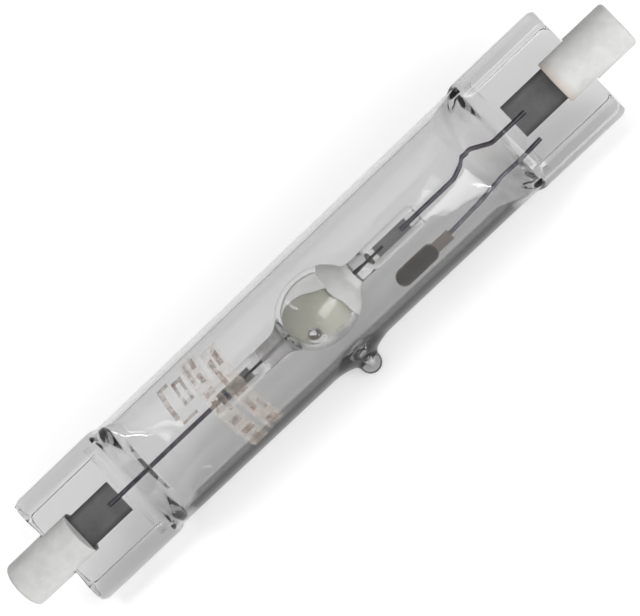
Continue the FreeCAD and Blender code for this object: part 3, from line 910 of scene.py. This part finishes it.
def marks(name, boxes, lift, mat):
    pts, faces = [], []
    for x0, x1, y0, y1 in boxes:
        a0, a1 = math.asin(y0 / R), math.asin(y1 / R)
        k = max(2, int(abs(a1 - a0) / 0.06))
        base = len(pts)
        for i in range(k + 1):
            t = a0 + (a1 - a0) * i / k
            for x in (x0, x1):
                pts.append([x, (R + lift) * math.sin(t), (R + lift) * math.cos(t)])
        for i in range(k):
            b = base + i * 2
            faces.append([b, b + 1, b + 3, b + 2])
    obj = mesh_object(name, np.array(pts), faces)
    obj.data.materials.append(mat)
    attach(obj, "root")


def ink(name, dark, light, alpha):
    m, nt, b = new_mat(name)
    mp, _ = lamp_coords(nt)
    grain(nt, b, mp.outputs["Vector"], 0.9, dark, light, 0.35, 0.65, 0.65)
    b.inputs["Roughness"].default_value = 0.6
    worn = noise(nt, mp.outputs["Vector"], 0.55, 4, 0.7)
    cover = mapr(nt, worn.outputs["Fac"], 0.36, 0.62, 0.25 * alpha, 1.25 * alpha)
    nt.links.new(cover.outputs["Result"], b.inputs["Alpha"])
    return m


brown = ink("print_brown", (0.15, 0.11, 0.095), (0.30, 0.225, 0.20), 0.62)
beige = ink("print_beige", (0.40, 0.34, 0.28), (0.52, 0.45, 0.38), 0.36)
PRINT_SHIFT = 2.3


def shifted(boxes):
    return [(x0 + PRINT_SHIFT, x1 + PRINT_SHIFT, y0, y1) for x0, x1, y0, y1 in boxes]


marks("print_bands", shifted([(-23.6, -20.4, -9.3, 8.6), (-19.6, -16.2, -8.9, 7.6)]), 0.012, beige)
marks("print_marks", shifted([
    (-29.2, -28.3, 2.4, 8.1), (-29.2, -26.9, 7.5, 8.1),
    (-26.4, -25.8, 3.2, 7.4), (-24.9, -24.3, 3.2, 7.4), (-26.4, -24.3, 6.8, 7.4), (-26.4, -24.3, 3.2, 3.8),
    (-28.6, -25.4, 1.1, 1.6),
    (-23.2, -22.5, 4.4, 8.2), (-21.9, -21.0, 6.6, 8.2), (-21.9, -21.0, 3.9, 5.6),
    (-22.9, -20.9, 1.6, 2.7), (-22.9, -21.9, -0.9, 0.7), (-21.5, -20.7, -2.4, -0.2),
    (-22.9, -21.1, -4.6, -3.4), (-22.9, -20.7, -6.9, -5.9), (-22.5, -21.4, -8.9, -7.6),
    (-19.2, -18.3, 1.1, 5.9), (-17.8, -16.8, 4.1, 6.9), (-18.9, -16.7, -1.6, -0.3),
    (-18.9, -17.9, -4.9, -2.6), (-17.4, -16.6, -5.9, -3.8), (-18.9, -16.9, -8.3, -7.1),
]), 0.02, brown)

# Stage

bpy.ops.mesh.primitive_plane_add(size=6)
floor = bpy.context.object
floor.name = "floor"
floor_mat, _, b = new_mat("floor_paper")
b.inputs["Base Color"].default_value = (0.93, 0.93, 0.93, 1)
b.inputs["Roughness"].default_value = 0.9
b.inputs["Specular IOR Level"].default_value = 0.0
b.inputs["Emission Color"].default_value = (1, 1, 1, 1)
b.inputs["Emission Strength"].default_value = 0.30
floor.data.materials.append(floor_mat)

world = bpy.data.worlds.new("studio")
bpy.context.scene.world = world
world.use_nodes = True
world.node_tree.nodes["Background"].inputs["Color"].default_value = (1, 1, 1, 1)
world.node_tree.nodes["Background"].inputs["Strength"].default_value = 0.42

scene = bpy.context.scene
scene.view_settings.view_transform = "Standard"


def area(name, place, target, size, power):
    d = bpy.data.lights.new(name, "AREA")
    d.shape = "RECTANGLE"
    d.size, d.size_y = size
    d.energy = power
    o = bpy.data.objects.new(name, d)
    o.location = place
    o.rotation_euler = (Vector(target) - Vector(place)).to_track_quat("-Z", "Y").to_euler()
    scene.collection.objects.link(o)
    return o


def strip(name, first, last, width, target, power):
    """Thin light from first to last that faces target."""
    first, last, target = Vector(first), Vector(last), Vector(target)
    d = bpy.data.lights.new(name, "AREA")
    d.shape = "RECTANGLE"
    d.size, d.size_y = (last - first).length, width
    d.energy = power
    o = bpy.data.objects.new(name, d)
    middle = (first + last) / 2
    x = (last - first).normalized()
    z = middle - target
    z = (z - x * z.dot(x)).normalized()
    o.matrix_world = Matrix.Translation(middle) @ Matrix((x, z.cross(x), z)).transposed().to_4x4()
    scene.collection.objects.link(o)
    return o


area("key", (0.30, -0.80, 0.36), (0, 0, 0.01), (0.8, 0.5), 6.6)
area("top", (-0.25, 0.30, 0.9), (0, 0, 0.01), (0.7, 0.7), 0.8)
strip("streak_left", (-0.245, 0.375, 0.265), (-0.235, -0.065, 0.465), 0.014, (-0.035, 0, 0.02), 0.55)
strip("streak_right", (0.240, -0.420, 0.205), (0.425, -0.320, 0.060), 0.024, (0.036, -0.009, 0.013), 0.55)

# camera
cam_data = bpy.data.cameras.new("camera")
LENS, SENSOR, DISTANCE = 147.0, 36.0, 0.430
cam_data.lens = LENS
cam_data.sensor_width = SENSOR
cam_data.clip_start = 0.01
cam = bpy.data.objects.new("camera", cam_data)
scene.collection.objects.link(cam)
scene.camera = cam
# square on to the pinches, 10 degrees towards the right end, and rolled as in the photograph
slant, swing = math.radians(45), math.radians(10)
n_dir = Vector((0, -math.sin(slant), math.cos(slant)))
c_dir = (math.cos(swing) * n_dir + math.sin(swing) * Vector((1, 0, 0))).normalized()
centre = Vector((0, 0, 0.01075))
x_img = Vector((1, 0, 0)) - c_dir * c_dir.x
x_img.normalize()
y_img = c_dir.cross(x_img).normalized()
roll_a = math.radians(43.47)
right = math.cos(roll_a) * x_img - math.sin(roll_a) * y_img
up = math.sin(roll_a) * x_img + math.cos(roll_a) * y_img
rot = Matrix((right, up, c_dir)).transposed()
pixel = DISTANCE * SENSOR / LENS / 640
along = math.cos(roll_a) * right + math.sin(roll_a) * up
across = math.sin(roll_a) * right - math.cos(roll_a) * up
shift = (7.6 * along + 1.6 * across) * pixel
cam.matrix_world = Matrix.Translation(centre + c_dir * DISTANCE + shift) @ rot.to_4x4()
